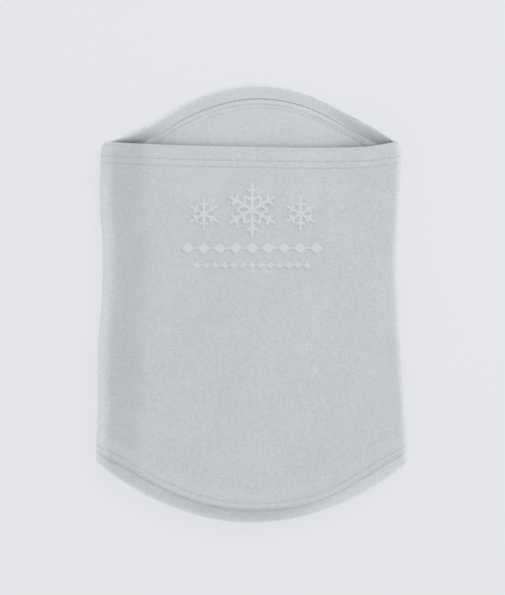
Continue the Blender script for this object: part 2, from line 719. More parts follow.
def nap_light(lie, points, across, rows):
    """How much lighter or darker the nap is: lighter along the edges, darker down the left side."""
    x, y = points[..., 0], points[..., 1]
    inset = half_width(across[None, :], y) - np.abs(x)
    left = x < 0
    nap = RIM_LIGHT * rim(inset, np.where(left, RIM_REACH_LEFT, RIM_REACH_RIGHT))
    for r, row in enumerate(rows):
        if row.place == "lower":
            nap[r] = np.maximum(nap[r], RIM_LIGHT_LOWER * rim(row.value, RIM_REACH_HEM))
        elif row.place == "mouth" and lie.side < 0:
            nap[r] = np.maximum(nap[r], RIM_LIGHT * rim(row.value, RIM_REACH_HEM))
    if lie.side < 0:
        nap += inside_light(points, rows)
    band = smooth_step(*LEFT_BAND_START, inset) * (1 - smooth_step(*LEFT_BAND_END, inset)) * left
    strip = np.array([row.place == "lower" and row.value < size_of("outer_row") for row in rows])[:, None]
    nap -= LEFT_BAND_DARK * band * (1 - LEFT_BAND_STRIP_SHARE * strip)
    right = RIGHT_STRIP_LIGHT * smooth_step(*RIGHT_STRIP_START, x)
    return nap + strip * (right - MIDDLE_STRIP_DARK * bell(x, *MIDDLE_STRIP))


def add_amounts(mesh, name, amount):
    layer = mesh.attributes.new(name, "FLOAT", "POINT")
    layer.data.foreach_set("value", amount.astype(np.float32))


def seam_allowance(lie, side):
    """Closed strip of cloth turned in at a side seam: points and quads."""
    cloth = size_of("cloth")
    ends = MOUTH_CORNER - size_of("hem_depth") - ALLOWANCE_END_GAP
    ys = np.linspace(-ends, ends, 70)
    half = half_width(np.full_like(ys, side), ys)
    inner = ALLOWANCE_DEPTH + 0.25 * np.sin(ys * 0.9) + 0.2 * np.sin(ys * 0.37)
    near = SEAM_GAP / 2
    corners = ((1.2, near), (4.0, near), (7.0, near), (inner - 0.5, near), (inner, near + cloth * 0.5),
               (inner - 0.5, near + cloth), (7.0, near + cloth), (4.0, near + cloth), (1.2, near + cloth))
    points = []
    for inward, z in corners:
        x = side * (half - inward)
        points.append(np.stack([x, ys, np.full_like(ys, MIDDLE_Z + lie.side * z)], -1))
    grid = np.array(points)
    count = len(ys)
    faces = grid_faces(len(corners), count)
    ring = range(len(corners))
    faces.append(tuple(r * count for r in ring))
    faces.append(tuple(r * count + count - 1 for r in reversed(ring)))
    return grid.reshape(-1, 3), faces


def fleece_panel(name, lie, section, column_step):
    """A panel with both its turned hems and its seam allowances."""
    across, angle = panel_columns(column_step)
    columns = len(across)
    points, normals = section_points(lie, across, angle, section)
    points = pile_tufts(points, normals, section)
    points[..., 2] = np.maximum(points[..., 2], 0.02)
    faces = grid_faces(len(section), columns)
    faces += cap_faces(points, 0, columns)
    faces += cap_faces(points, columns - 1, columns)
    uv = hem_coordinates(lie, across, angle, section).reshape(-1, 2)
    fuzz = fuzz_amount(lie, points, normals, across, angle, section).ravel()
    nap = nap_light(lie, points, across, section).ravel()
    everything = points.reshape(-1, 3)
    for side in (-1, 1):
        strip, strip_faces = seam_allowance(lie, side)
        start = len(everything)
        everything = np.concatenate([everything, strip])
        faces += [tuple(i + start for i in face) for face in strip_faces]
        uv = np.concatenate([uv, np.tile([[0.0, HEM_END + 10]], (len(strip), 1))])
        fuzz = np.concatenate([fuzz, np.zeros(len(strip))])
        nap = np.concatenate([nap, np.zeros(len(strip))])
    mesh = mesh_from(name, everything, faces)
    add_hem_uv(mesh, uv)
    add_amounts(mesh, "fuzz", fuzz)
    add_amounts(mesh, "nap", nap)
    turn_out(mesh)
    shade_smooth(mesh)
    return new_object(name, mesh)


# ---- Shader groups ----


def new_group(name, inputs, outputs):
    """A shader group: inputs are (name, kind, default)."""
    group = bpy.data.node_groups.new(name, "ShaderNodeTree")
    for socket_name, kind, default in inputs:
        socket = group.interface.new_socket(socket_name, in_out="INPUT", socket_type=kind)
        if default is not None:
            socket.default_value = default
    for socket_name, kind in outputs:
        group.interface.new_socket(socket_name, in_out="OUTPUT", socket_type=kind)
    return group, group.nodes.new("NodeGroupInput"), group.nodes.new("NodeGroupOutput")


def math_node(tree, operation, first, second=None, third=None):
    node = tree.nodes.new("ShaderNodeMath")
    node.operation = operation
    for socket, value in zip(node.inputs, (first, second, third)):
        if value is None:
            continue
        if isinstance(value, (int, float)):
            socket.default_value = value
        else:
            tree.links.new(value, socket)
    return node.outputs[0]


def noise_node(tree, vector, scale, detail, roughness):
    node = tree.nodes.new("ShaderNodeTexNoise")
    node.inputs["Detail"].default_value = detail
    node.inputs["Roughness"].default_value = roughness
    tree.links.new(vector, node.inputs["Vector"])
    if isinstance(scale, (int, float)):
        node.inputs["Scale"].default_value = scale
    else:
        tree.links.new(scale, node.inputs["Scale"])
    return node.outputs["Fac"]


def range_node(tree, value, from_low, from_high, to_low, to_high, kind="LINEAR"):
    node = tree.nodes.new("ShaderNodeMapRange")
    node.interpolation_type = kind
    limits = {"From Min": from_low, "From Max": from_high, "To Min": to_low, "To Max": to_high}
    for name, number in limits.items():
        if isinstance(number, (int, float)):
            node.inputs[name].default_value = number
        else:
            tree.links.new(number, node.inputs[name])
    tree.links.new(value, node.inputs["Value"])
    return node.outputs["Result"]


def pile_group():
    """Brushed pile: tufts, fine fibres that lean one way, and small pills."""
    found = bpy.data.node_groups.get("brushed_pile")
    if found:
        return found
    group, start, end = new_group(
        "brushed_pile",
        (("Vector", "NodeSocketVector", None), ("Tuft Scale", "NodeSocketFloat", 480.0),
         ("Fibre Scale", "NodeSocketFloat", 2600.0), ("Pills", "NodeSocketFloat", 0.5)),
        (("Height", "NodeSocketFloat"), ("Shade", "NodeSocketFloat"), ("Broad", "NodeSocketFloat")))
    links = group.links
    tufts = noise_node(group, start.outputs["Vector"], start.outputs["Tuft Scale"], 3.0, 0.62)
    lean = group.nodes.new("ShaderNodeMapping")
    lean.inputs["Scale"].default_value = (1.0, 0.32, 1.0)
    lean.inputs["Rotation"].default_value = (0.0, 0.0, 0.12)
    links.new(start.outputs["Vector"], lean.inputs["Vector"])
    fibres = noise_node(group, lean.outputs["Vector"], start.outputs["Fibre Scale"], 2.0, 0.7)
    cells = group.nodes.new("ShaderNodeTexVoronoi")
    cells.feature = "SMOOTH_F1"
    links.new(start.outputs["Vector"], cells.inputs["Vector"])
    links.new(math_node(group, "MULTIPLY", start.outputs["Tuft Scale"], 0.6), cells.inputs["Scale"])
    pill = range_node(group, cells.outputs["Distance"], 0.08, 0.36, 1.0, 0.0)
    spread = noise_node(group, start.outputs["Vector"], 120.0, 1.0, 0.5)
    some = range_node(group, spread, 0.5, 0.62, 0.0, 1.0)
    pills = math_node(group, "MULTIPLY", math_node(group, "MULTIPLY", pill, some), start.outputs["Pills"])
    height = math_node(group, "MULTIPLY_ADD", fibres, 0.45, tufts)
    height = math_node(group, "MULTIPLY_ADD", pills, 0.5, height)
    shade = math_node(group, "MULTIPLY_ADD", fibres, 0.5, math_node(group, "MULTIPLY", tufts, 0.5))
    shade = math_node(group, "MULTIPLY_ADD", pills, 0.16, shade)
    broad = noise_node(group, start.outputs["Vector"], 26.0, 3.0, 0.55)
    links.new(height, end.inputs["Height"])
    links.new(shade, end.inputs["Shade"])
    links.new(broad, end.inputs["Broad"])
    return group


def needle_group():
    """Round needle holes along the two rows of a hem, from UV in stitches and millimetres."""
    found = bpy.data.node_groups.get("needle_holes")
    if found:
        return found
    group, start, end = new_group(
        "needle_holes",
        (("UV", "NodeSocketVector", None), ("Outer Row", "NodeSocketFloat", 12.5),
         ("Gauge", "NodeSocketFloat", 5.6), ("Pitch", "NodeSocketFloat", 2.2),
         ("Reach", "NodeSocketFloat", 1.0)),
        (("Holes", "NodeSocketFloat"),))
    split = group.nodes.new("ShaderNodeSeparateXYZ")
    group.links.new(start.outputs["UV"], split.inputs[0])
    stitch = math_node(group, "FRACT", split.outputs["X"])
    along = math_node(group, "MULTIPLY", math_node(group, "SUBTRACT", stitch, 0.5), start.outputs["Pitch"])
    total = None
    for row, share in ((0.0, 1.0), (1.0, 0.45)):
        at = math_node(group, "MULTIPLY_ADD", start.outputs["Gauge"], row, start.outputs["Outer Row"])
        beside = math_node(group, "SUBTRACT", split.outputs["Y"], at)
        squared = math_node(group, "MULTIPLY_ADD", along, along, math_node(group, "MULTIPLY", beside, beside))
        away = math_node(group, "SQRT", squared)
        near = range_node(group, away, 0.0, start.outputs["Reach"], share, 0.0, "SMOOTHERSTEP")
        total = near if total is None else math_node(group, "MAXIMUM", total, near)
    group.links.new(total, end.inputs["Holes"])
    return group


def twist_group():
    """Twisted yarn: fine slanting ribs and a little fuzz."""
    found = bpy.data.node_groups.get("twisted_yarn")
    if found:
        return found
    group, start, end = new_group(
        "twisted_yarn",
        (("Vector", "NodeSocketVector", None), ("Rib Scale", "NodeSocketFloat", 900.0)),
        (("Height", "NodeSocketFloat"), ("Shade", "NodeSocketFloat")))
    wave = group.nodes.new("ShaderNodeTexWave")
    wave.wave_type = "BANDS"
    wave.bands_direction = "DIAGONAL"
    wave.inputs["Distortion"].default_value = 1.2
    group.links.new(start.outputs["Vector"], wave.inputs["Vector"])
    group.links.new(start.outputs["Rib Scale"], wave.inputs["Scale"])
    fuzz = noise_node(group, start.outputs["Vector"], 3800.0, 2.0, 0.6)
    height = math_node(group, "MULTIPLY_ADD", fuzz, 0.5, wave.outputs["Fac"])
    group.links.new(height, end.inputs["Height"])
    group.links.new(math_node(group, "MULTIPLY", height, 0.66), end.inputs["Shade"])
    return group


# ---- Materials ----


def new_material(name):
    material = bpy.data.materials.new(name)
    material.use_nodes = True
    return material, material.node_tree, material.node_tree.nodes["Principled BSDF"]


def set_inputs(node, **values):
    """Sets inputs by name, with underscores for spaces."""
    for name, value in values.items():
        node.inputs[name.replace("_", " ")].default_value = value


def add_group(tree, group, **values):
    node = tree.nodes.new("ShaderNodeGroup")
    node.node_tree = group
    set_inputs(node, **values)
    return node


def tone(tree, colour, factor, low, high):
    """The colour made darker or lighter by a factor from 0 to 1."""
    node = tree.nodes.new("ShaderNodeMix")
    node.data_type = "RGBA"
    node.clamp_factor = True
    dark = [channel * low for channel in colour[:3]] + [1.0]
    light = [min(1.0, channel * high) for channel in colour[:3]] + [1.0]
    node.inputs[6].default_value = dark
    node.inputs[7].default_value = light
    tree.links.new(factor, node.inputs[0])
    return node.outputs[2]


def multiply_colour(tree, colour, value):
    node = tree.nodes.new("ShaderNodeMix")
    node.data_type = "RGBA"
    node.blend_type = "MULTIPLY"
    node.inputs[0].default_value = 1.0
    tree.links.new(colour, node.inputs[6])
    tree.links.new(value, node.inputs[7])
    return node.outputs[2]


def bump(tree, height, distance, strength, normal=None):
    node = tree.nodes.new("ShaderNodeBump")
    node.inputs["Distance"].default_value = distance
    node.inputs["Strength"].default_value = strength
    tree.links.new(height, node.inputs["Height"])
    if normal is not None:
        tree.links.new(normal, node.inputs["Normal"])
    return node.outputs["Normal"]


def object_coordinates(tree):
    return tree.nodes.new("ShaderNodeTexCoord").outputs["Object"]


def fleece_material(name, hole_shade, hole_reach):
    """Brushed fleece: leaning fibres, tufts, pills, broad shading of the nap and needle holes in the hems."""
    material, tree, shader = new_material(name)
    pile = add_group(tree, pile_group())
    tree.links.new(object_coordinates(tree), pile.inputs["Vector"])
    uv = tree.nodes.new("ShaderNodeUVMap")
    uv.uv_map = "hem_rows"
    holes = add_group(tree, needle_group(), Outer_Row=size_of("outer_row"), Gauge=size_of("needle_gauge"),
                      Pitch=size_of("stitch_pitch"), Reach=hole_reach)
    tree.links.new(uv.outputs["UV"], holes.inputs["UV"])
    shade = range_node(tree, pile.outputs["Shade"], *PILE_RANGE, 0.0, 1.0)
    colour = tone(tree, colour_of("fleece"), shade, *FLEECE_TONES)
    broad = range_node(tree, pile.outputs["Broad"], *BROAD_RANGE, *BROAD_TONES)
    colour = multiply_colour(tree, colour, broad)
    dark = range_node(tree, holes.outputs["Holes"], 0.0, 1.0, 1.0, 1.0 - hole_shade)
    colour = multiply_colour(tree, colour, dark)
    nap = tree.nodes.new("ShaderNodeAttribute")
    nap.attribute_name = "nap"
    colour = multiply_colour(tree, colour, math_node(tree, "ADD", nap.outputs["Fac"], 1.0))
    tree.links.new(colour, shader.inputs["Base Color"])
    rough = range_node(tree, pile.outputs["Shade"], *PILE_RANGE, 1.0, 0.86)
    tree.links.new(rough, shader.inputs["Roughness"])
    first = bump(tree, pile.outputs["Height"], 0.0005, 0.65)
    sunk = math_node(tree, "MULTIPLY", holes.outputs["Holes"], -1.0)
    tree.links.new(bump(tree, sunk, HOLE_DEPTH * MM, 0.6, first), shader.inputs["Normal"])
    set_inputs(shader, Sheen_Weight=0.75, Sheen_Roughness=0.4, Specular_IOR_Level=0.12)
    return material


def fibre_material():
    """Single polyester fibres: pale, matt, a little uneven in tone."""
    material, tree, shader = new_material("loose_fibre")
    uneven = noise_node(tree, object_coordinates(tree), 700.0, 2.0, 0.6)
    shade = range_node(tree, uneven, 0.35, 0.65, 0.0, 1.0)
    tree.links.new(tone(tree, colour_of("loose_fibre"), shade, *FIBRE_TONES), shader.inputs["Base Color"])
    tree.links.new(range_node(tree, shade, 0.0, 1.0, 0.95, 0.8), shader.inputs["Roughness"])
    set_inputs(shader, Sheen_Weight=0.3, Specular_IOR_Level=0.15)
    return material


def thread_material(name, colour):
    """Twisted polyester thread in one of the thread colours."""
    material, tree, shader = new_material(name)
    yarn = add_group(tree, twist_group())
    tree.links.new(object_coordinates(tree), yarn.inputs["Vector"])
    shade = yarn.outputs["Shade"]
    tree.links.new(tone(tree, colour_of(colour), shade, *THREAD_TONES), shader.inputs["Base Color"])
    tree.links.new(bump(tree, yarn.outputs["Height"], 0.0001, 0.5), shader.inputs["Normal"])
    tree.links.new(range_node(tree, shade, 0.0, 1.0, 0.75, 0.55), shader.inputs["Roughness"])
    set_inputs(shader, Sheen_Weight=0.1, Specular_IOR_Level=0.25)
    return material


def emblem_material():
    """Raised tonal print: pressed pile, smoother and lighter than the fleece."""
    material, tree, shader = new_material("raised_emblem")
    pile = add_group(tree, pile_group(), Tuft_Scale=900.0, Fibre_Scale=3600.0, Pills=0.2)
    tree.links.new(object_coordinates(tree), pile.inputs["Vector"])
    shade = range_node(tree, pile.outputs["Shade"], *PILE_RANGE, 0.0, 1.0)
    tree.links.new(tone(tree, colour_of("emblem"), shade, *EMBLEM_TONES), shader.inputs["Base Color"])
    tree.links.new(range_node(tree, shade, 0.0, 1.0, 0.9, 0.75), shader.inputs["Roughness"])
    tree.links.new(bump(tree, pile.outputs["Height"], 0.0002, 0.35), shader.inputs["Normal"])
    set_inputs(shader, Sheen_Weight=0.6, Sheen_Roughness=0.4, Specular_IOR_Level=0.15)
    return material


def label_material():
    """Satin ribbon: fine ribs across the weave."""
    material, tree, shader = new_material("label_ribbon")
    wave = tree.nodes.new("ShaderNodeTexWave")
    set_inputs(wave, Scale=900.0, Distortion=0.4)
    wave.bands_direction = "Y"
    tree.links.new(object_coordinates(tree), wave.inputs["Vector"])
    ribs = wave.outputs["Fac"]
    tree.links.new(tone(tree, colour_of("label"), ribs, *LABEL_TONES), shader.inputs["Base Color"])
    tree.links.new(bump(tree, ribs, 0.0001, 0.3), shader.inputs["Normal"])
    tree.links.new(range_node(tree, ribs, 0.0, 1.0, 0.5, 0.38), shader.inputs["Roughness"])
    set_inputs(shader, Sheen_Weight=0.1)
    return material


def floor_material():
    """Matt pale panel that is softly lit from behind, with a faint grain."""
    material, tree, shader = new_material("stage_paper")
    grain = noise_node(tree, object_coordinates(tree), 300.0, 3.0, 0.6)
    tree.links.new(tone(tree, colour_of("floor"), grain, *FLOOR_TONES), shader.inputs["Base Color"])
    set_inputs(shader, Roughness=0.9, Specular_IOR_Level=0.1, Emission_Color=colour_of("floor_glow"),
               Emission_Strength=FLOOR_GLOW)
    return material


def get_material(name, maker, *details):
    return bpy.data.materials.get(name) or maker(*details)


# ---- Stitches by geometry nodes ----


def geometry_tree(name, inputs):
    """A geometry tree: inputs are (name, kind, default) after the geometry itself."""
    tree = bpy.data.node_groups.new(name, "GeometryNodeTree")
    tree.interface.new_socket("Geometry", in_out="INPUT", socket_type="NodeSocketGeometry")
    for socket_name, kind, default in inputs:
        socket = tree.interface.new_socket(socket_name, in_out="INPUT", socket_type=kind)
        if default is not None:
            socket.default_value = default
    tree.interface.new_socket("Geometry", in_out="OUTPUT", socket_type="NodeSocketGeometry")
    return tree, tree.nodes.new("NodeGroupInput")


def named_attribute(tree, name, kind):
    node = tree.nodes.new("GeometryNodeInputNamedAttribute")
    node.data_type = kind
    node.inputs["Name"].default_value = name
    return node.outputs["Attribute"]


def link_all(tree, pairs):
    for source, target in pairs:
        tree.links.new(source, target)


def place_units(tree, start, unit_name, points, rotation, scale):
    """Places the unit object on points, makes the copies real and paints them."""
    unit = tree.nodes.new("GeometryNodeObjectInfo")
    place = tree.nodes.new("GeometryNodeInstanceOnPoints")
    real = tree.nodes.new("GeometryNodeRealizeInstances")
    paint = tree.nodes.new("GeometryNodeSetMaterial")
    end = tree.nodes.new("NodeGroupOutput")
    link_all(tree, (
        (start.outputs[unit_name], unit.inputs["Object"]),
        (points, place.inputs["Points"]),
        (unit.outputs["Geometry"], place.inputs["Instance"]),
        (rotation, place.inputs["Rotation"]),
        (scale, place.inputs["Scale"]),
        (place.outputs["Instances"], real.inputs["Geometry"]),
        (real.outputs["Geometry"], paint.inputs["Geometry"]),
        (start.outputs["Material"], paint.inputs["Material"]),
        (paint.outputs["Geometry"], end.inputs["Geometry"])))


def stitch_tree():
    """A unit stitch repeated along a row: named inputs, fixed seed, real geometry at the end."""
    found = bpy.data.node_groups.get("stitch_row")
    if found:
        return found
    tree, start = geometry_tree("stitch_row", (
        ("Stitches", "NodeSocketInt", 100), ("Unit", "NodeSocketObject", None),
        ("Unevenness", "NodeSocketFloat", 0.08), ("Seed", "NodeSocketInt", 7),
        ("Material", "NodeSocketMaterial", None)))
    nodes = tree.nodes
    curve = nodes.new("GeometryNodeMeshToCurve")
    even = nodes.new("GeometryNodeResampleCurve")
    even.mode = "COUNT"
    outward = named_attribute(tree, "outward", "FLOAT_VECTOR")
    tangent = nodes.new("GeometryNodeInputTangent")
    turn = nodes.new("FunctionNodeAxesToRotation")
    turn.primary_axis = "Z"
    turn.secondary_axis = "X"
    size = nodes.new("FunctionNodeRandomValue")
    smallest = math_node(tree, "SUBTRACT", 1.0, start.outputs["Unevenness"])
    largest = math_node(tree, "ADD", 1.0, start.outputs["Unevenness"])
    link_all(tree, (
        (start.outputs["Geometry"], curve.inputs["Mesh"]),
        (curve.outputs["Curve"], even.inputs["Curve"]),
        (start.outputs["Stitches"], even.inputs["Count"]),
        (outward, turn.inputs["Primary Axis"]),
        (tangent.outputs["Tangent"], turn.inputs["Secondary Axis"]),
        (smallest, size.inputs[2]),
        (largest, size.inputs[3]),
        (start.outputs["Seed"], size.inputs["Seed"])))
    place_units(tree, start, "Unit", even.outputs["Curve"], turn.outputs["Rotation"], size.outputs[1])
    return tree


def fuzz_tree():
    """Loose fibres scattered over a brushed face, thickest where its fuzz attribute is high."""
    found = bpy.data.node_groups.get("loose_fibres")
    if found:
        return found
    tree, start = geometry_tree("loose_fibres", (
        ("Density", "NodeSocketFloat", 1.0e6), ("Fibre", "NodeSocketObject", None),
        ("Lean", "NodeSocketFloat", 0.9), ("Shortest", "NodeSocketFloat", 0.5),
        ("Longest", "NodeSocketFloat", 1.5), ("Seed", "NodeSocketInt", 3),
        ("Material", "NodeSocketMaterial", None)))
    nodes = tree.nodes
    scatter = nodes.new("GeometryNodeDistributePointsOnFaces")
    tilt = nodes.new("FunctionNodeRandomValue")
    tilt.data_type = "FLOAT_VECTOR"
    low = nodes.new("ShaderNodeCombineXYZ")
    high = nodes.new("ShaderNodeCombineXYZ")
    low.inputs["Z"].default_value = -math.pi
    high.inputs["Z"].default_value = math.pi
    opposite = math_node(tree, "MULTIPLY", start.outputs["Lean"], -1.0)
    spin = nodes.new("FunctionNodeEulerToRotation")
    turn = nodes.new("FunctionNodeRotateRotation")
    turn.rotation_space = "LOCAL"
    size = nodes.new("FunctionNodeRandomValue")
    density = math_node(tree, "MULTIPLY", named_attribute(tree, "fuzz", "FLOAT"), start.outputs["Density"])
    link_all(tree, (
        (opposite, low.inputs["X"]),
        (opposite, low.inputs["Y"]),
        (start.outputs["Lean"], high.inputs["X"]),
        (start.outputs["Lean"], high.inputs["Y"]),
        (low.outputs[0], tilt.inputs["Min"]),
        (high.outputs[0], tilt.inputs["Max"]),
        (start.outputs["Seed"], tilt.inputs["Seed"]),
        (start.outputs["Geometry"], scatter.inputs["Mesh"]),
        (density, scatter.inputs["Density"]),
        (start.outputs["Seed"], scatter.inputs["Seed"]),
        (tilt.outputs[0], spin.inputs[0]),
        (scatter.outputs["Rotation"], turn.inputs["Rotation"]),
        (spin.outputs[0], turn.inputs["Rotate By"]),
        (start.outputs["Shortest"], size.inputs[2]),
        (start.outputs["Longest"], size.inputs[3]),
        (start.outputs["Seed"], size.inputs["Seed"])))
    place_units(tree, start, "Fibre", scatter.outputs["Points"], turn.outputs[0], size.outputs[1])
    return tree


def plain_mesh(name, built):
    """The mesh of an object with its modifiers applied; the object itself is left as it is."""
    graph = bpy.context.evaluated_depsgraph_get()
    mesh = bpy.data.meshes.new_from_object(built.evaluated_get(graph), depsgraph=graph)
    mesh.name = name
    return mesh


def fibre_unit():
    """One fibre a millimetre long: a three-sided spike."""
    points = [(FIBRE_RADIUS * math.cos(turn), FIBRE_RADIUS * math.sin(turn), FIBRE_ROOT)
              for turn in (0.0, 2 * math.pi / 3, 4 * math.pi / 3)]
    points.append((0.0, 0.0, 1.0))
    faces = [(0, 1, 3), (1, 2, 3), (2, 0, 3), (2, 1, 0)]
    fibre = new_object("fibre_unit", mesh_from("fibre_unit", points, faces))
    fibre.hide_render = True
    return fibre


def grow_fibres(name, panel, density, material, seed):
    """Loose fibres on a panel's brushed faces, as a plain mesh object; density is per square millimetre."""
    fibre = fibre_unit()
    bed = new_object(f"{name}_bed", panel.data.copy())
    modifier = bed.modifiers.new("fibres", "NODES")
    modifier.node_group = fuzz_tree()
    values = {"Density": density / MM**2, "Fibre": fibre, "Seed": seed, "Material": material,
              "Lean": FIBRE_LEAN, "Shortest": FIBRE_SHORTEST, "Longest": FIBRE_LONGEST}
    for socket, value in values.items():
        set_input(modifier, socket, value)
    mesh = plain_mesh(name, bed)
    bpy.data.objects.remove(bed)
    bpy.data.objects.remove(fibre)
    shade_smooth(mesh)
    return new_object(name, mesh)


def set_input(modifier, name, value):
    """Sets a modifier's input by its socket's identifier."""
    for item in modifier.node_group.interface.items_tree:
        if item.item_type == "SOCKET" and item.in_out == "INPUT" and item.name == name:
            modifier[item.identifier] = value
            return
    raise RuntimeError(f"the tree has no input named {name}")


def tube_unit(name, strands, radius, sides=6, end_share=0.45):
    """A small mesh of tubes along short paths, in millimetres, with narrow ends."""
    points = []
    faces = []
    for path in strands:
        path = np.array(path, float)
        tangents = np.gradient(path, axis=0)
        rings = []
        for i, (centre, along) in enumerate(zip(path, tangents)):
            along = along / np.linalg.norm(along)
            beside = np.cross(along, (0.0, 0.0, 1.0))
            if np.linalg.norm(beside) < 1e-3:
                beside = np.array((0.0, 1.0, 0.0))
            beside = beside / np.linalg.norm(beside)
            over = np.cross(beside, along)
            end = i in (0, len(path) - 1)
            ring = []
            for s in range(sides):
                turn = 2 * np.pi * s / sides
                reach = radius * (end_share if end else 1.0)
                points.append(centre + reach * (np.cos(turn) * beside + np.sin(turn) * over))
                ring.append(len(points) - 1)
            rings.append(ring)
        for here, there in zip(rings[:-1], rings[1:]):
            for s in range(sides):
                t = (s + 1) % sides
                faces.append((here[s], here[t], there[t], there[s]))
        faces.append(tuple(reversed(rings[0])))
        faces.append(tuple(rings[-1]))
    mesh = mesh_from(name, points, faces)
    turn_out(mesh, merge=True)
    shade_smooth(mesh)
    made = new_object(name, mesh)
    made.hide_render = True
    return made


def path_object(name, points, outward, closed):
    """A line of edges in metres that carries its outward direction."""
    mesh = bpy.data.meshes.new(name)
    count = len(points)
    edges = [(i, i + 1) for i in range(count - 1)]
    if closed:
        edges.append((count - 1, 0))
    mesh.from_pydata((points * MM).tolist(), edges, [])
    layer = mesh.attributes.new("outward", "FLOAT_VECTOR", "POINT")
    layer.data.foreach_set("vector", outward.astype(np.float32).ravel())
    return new_object(name, mesh)


def sew(name, path, unit, stitches, seed, yarn, unevenness=0.06):
    """Runs the stitch tree on a path and returns the plain mesh object; the path is removed."""
    modifier = path.modifiers.new("stitches", "NODES")
    modifier.node_group = stitch_tree()
    material = get_material(f"{yarn}_yarn", thread_material, f"{yarn}_yarn", yarn)
    values = {"Stitches": stitches, "Unit": unit, "Unevenness": unevenness, "Seed": seed,
              "Material": material}
    for socket, value in values.items():
        set_input(modifier, socket, value)
    mesh = plain_mesh(name, path)
    bpy.data.objects.remove(path)
    shade_smooth(mesh)
    return new_object(name, mesh)


def outer_ring(which, distance):
    """Points on the outer faces round the tube at a distance from a hem's fold, with outward directions."""
    across, angle = panel_columns(2.0)
    points = []
    outward = []
    for lie in (FRONT, BACK):
        strayed = distance + row_wander(which, across * MOUTH_HALF)
        y = lie.height_at(which, across, angle, strayed)
        place, normal = lie.frame_at(across, angle, y)
        order = slice(None) if lie.side > 0 else slice(None, None, -1)
        points.append(place[order])
        outward.append(normal[order])
    return np.concatenate(points), np.concatenate(outward)


def inner_ring(which, first, second):
    """Points on the inner faces midway between two rows of a hem, with the directions that face inwards."""
    edges = []
    for distance in (first, second):
        points, outward = outer_ring(which, distance)
        edges.append(points - outward * hem_thickness(distance))
    middle = (edges[0] + edges[1]) / 2
    along = np.roll(middle, -1, axis=0) - np.roll(middle, 1, axis=0)
    inward = np.cross(along, edges[1] - edges[0])
    inward /= np.linalg.norm(inward, axis=-1, keepdims=True)
    wrong_way = np.sum(inward * outward, axis=-1, keepdims=True) > 0
    return middle, np.where(wrong_way, -inward, inward)


def needle_unit():
    """One needle stitch: up out of the cloth, along it, and down again."""
    pitch = size_of("stitch_pitch")
    radius = size_of("thread") / 2 * 1.15
    path = [(-0.5 * pitch, 0, -0.5), (-0.42 * pitch, 0, 0.0), (-0.2 * pitch, 0, 0.2), (0.08 * pitch, 0, 0.24),
            (0.3 * pitch, 0, 0.14), (0.45 * pitch, 0, -0.06), (0.5 * pitch, 0, -0.5)]
    return tube_unit("needle_stitch_unit", [path], radius)


def looper_unit():
    """One repeat of the looper threads: two strands across the rows and a loop along each row."""
    pitch = size_of("stitch_pitch")
    half = size_of("needle_gauge") / 2
    radius = size_of("thread") / 2 * LOOPER_BULK
    across = [(-0.5 * pitch, -half, 0.1), (-0.32 * pitch, -half * 0.7, 0.26), (-0.12 * pitch, 0, 0.32),
              (0.1 * pitch, half * 0.7, 0.26), (0.18 * pitch, half * 1.04, 0.1)]
    back = [(0.18 * pitch, half * 1.04, 0.1), (0.26 * pitch, half * 0.5, 0.22), (0.34 * pitch, 0, 0.26),
            (0.42 * pitch, -half * 0.6, 0.22), (0.5 * pitch, -half, 0.1)]
    loops = []
    for row in (-1, 1):
        edge = row * half
        bulge = row * (half + 0.42)
        loops.append([(-0.55 * pitch, edge, 0.05), (-0.25 * pitch, bulge, 0.2), (0.15 * pitch, bulge, 0.22),
                      (0.5 * pitch, edge, 0.1)])
    return tube_unit("looper_stitch_unit", [across, back, *loops], radius, 5)


def overlock_unit():
    """One overlock stitch round the two allowances: a band across each face and a turn round their edge."""
    pitch = OVERLOCK_PITCH
    cloth = size_of("cloth")
    radius = size_of("thread") / 2 * 1.1
    reach = OVERLOCK_REACH
    top = cloth + 0.35
    wrap = [(-0.5 * pitch, -reach, top - 0.35), (-0.3 * pitch, -reach * 0.5, top), (-0.05 * pitch, -0.3, top),
            (0.05 * pitch, 0.55, 0.7 * top), (0.1 * pitch, 0.72, 0.0), (0.05 * pitch, 0.55, -0.7 * top),
            (0.1 * pitch, -0.3, -top), (0.3 * pitch, -reach * 0.5, -top), (0.5 * pitch, -reach, -top + 0.35)]
    needle = [(-0.5 * pitch, -reach + 0.3, top - 0.3), (-0.2 * pitch, -reach + 0.3, top),
              (0.25 * pitch, -reach + 0.3, top), (0.5 * pitch, -reach + 0.3, top - 0.3)]
    return tube_unit("overlock_stitch_unit", [wrap, needle], radius, 5)


# ---- Operators ----


class GAITER_OT_panels(bpy.types.Operator):
    """Build the front and back fleece panels with their turned hems and loose fibres"""

    bl_idname = "gaiter.panels"
    bl_label = "Fleece Panels"

    def execute(self, context):
        front = fleece_panel("front_panel_fleece", FRONT, panel_section(1.7, 1.6, 12.0), COLUMN_STEP)
        back = fleece_panel("back_panel_fleece", BACK, panel_section(2.2, 0.9, 46.0), COLUMN_STEP)
        panels = ((front, "front_panel", FRONT_HOLES, FRONT_CUT, ("back_panel_fleece",)),
                  (back, "back_panel", BACK_HOLES, BACK_CUT, ()))
        for seed, (piece, node, holes, cut, under) in enumerate(panels):
            material = fleece_material(f"{node}_fleece", *holes)
            piece.data.materials.append(material)
            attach(piece, "root")
            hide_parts(node)
            loose = get_material("loose_fibre", fibre_material)
            fibres = grow_fibres(f"{node}_fibres", piece, FIBRE_DENSITY, loose, 40 + seed)
            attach(fibres, "root")
        return {"FINISHED"}


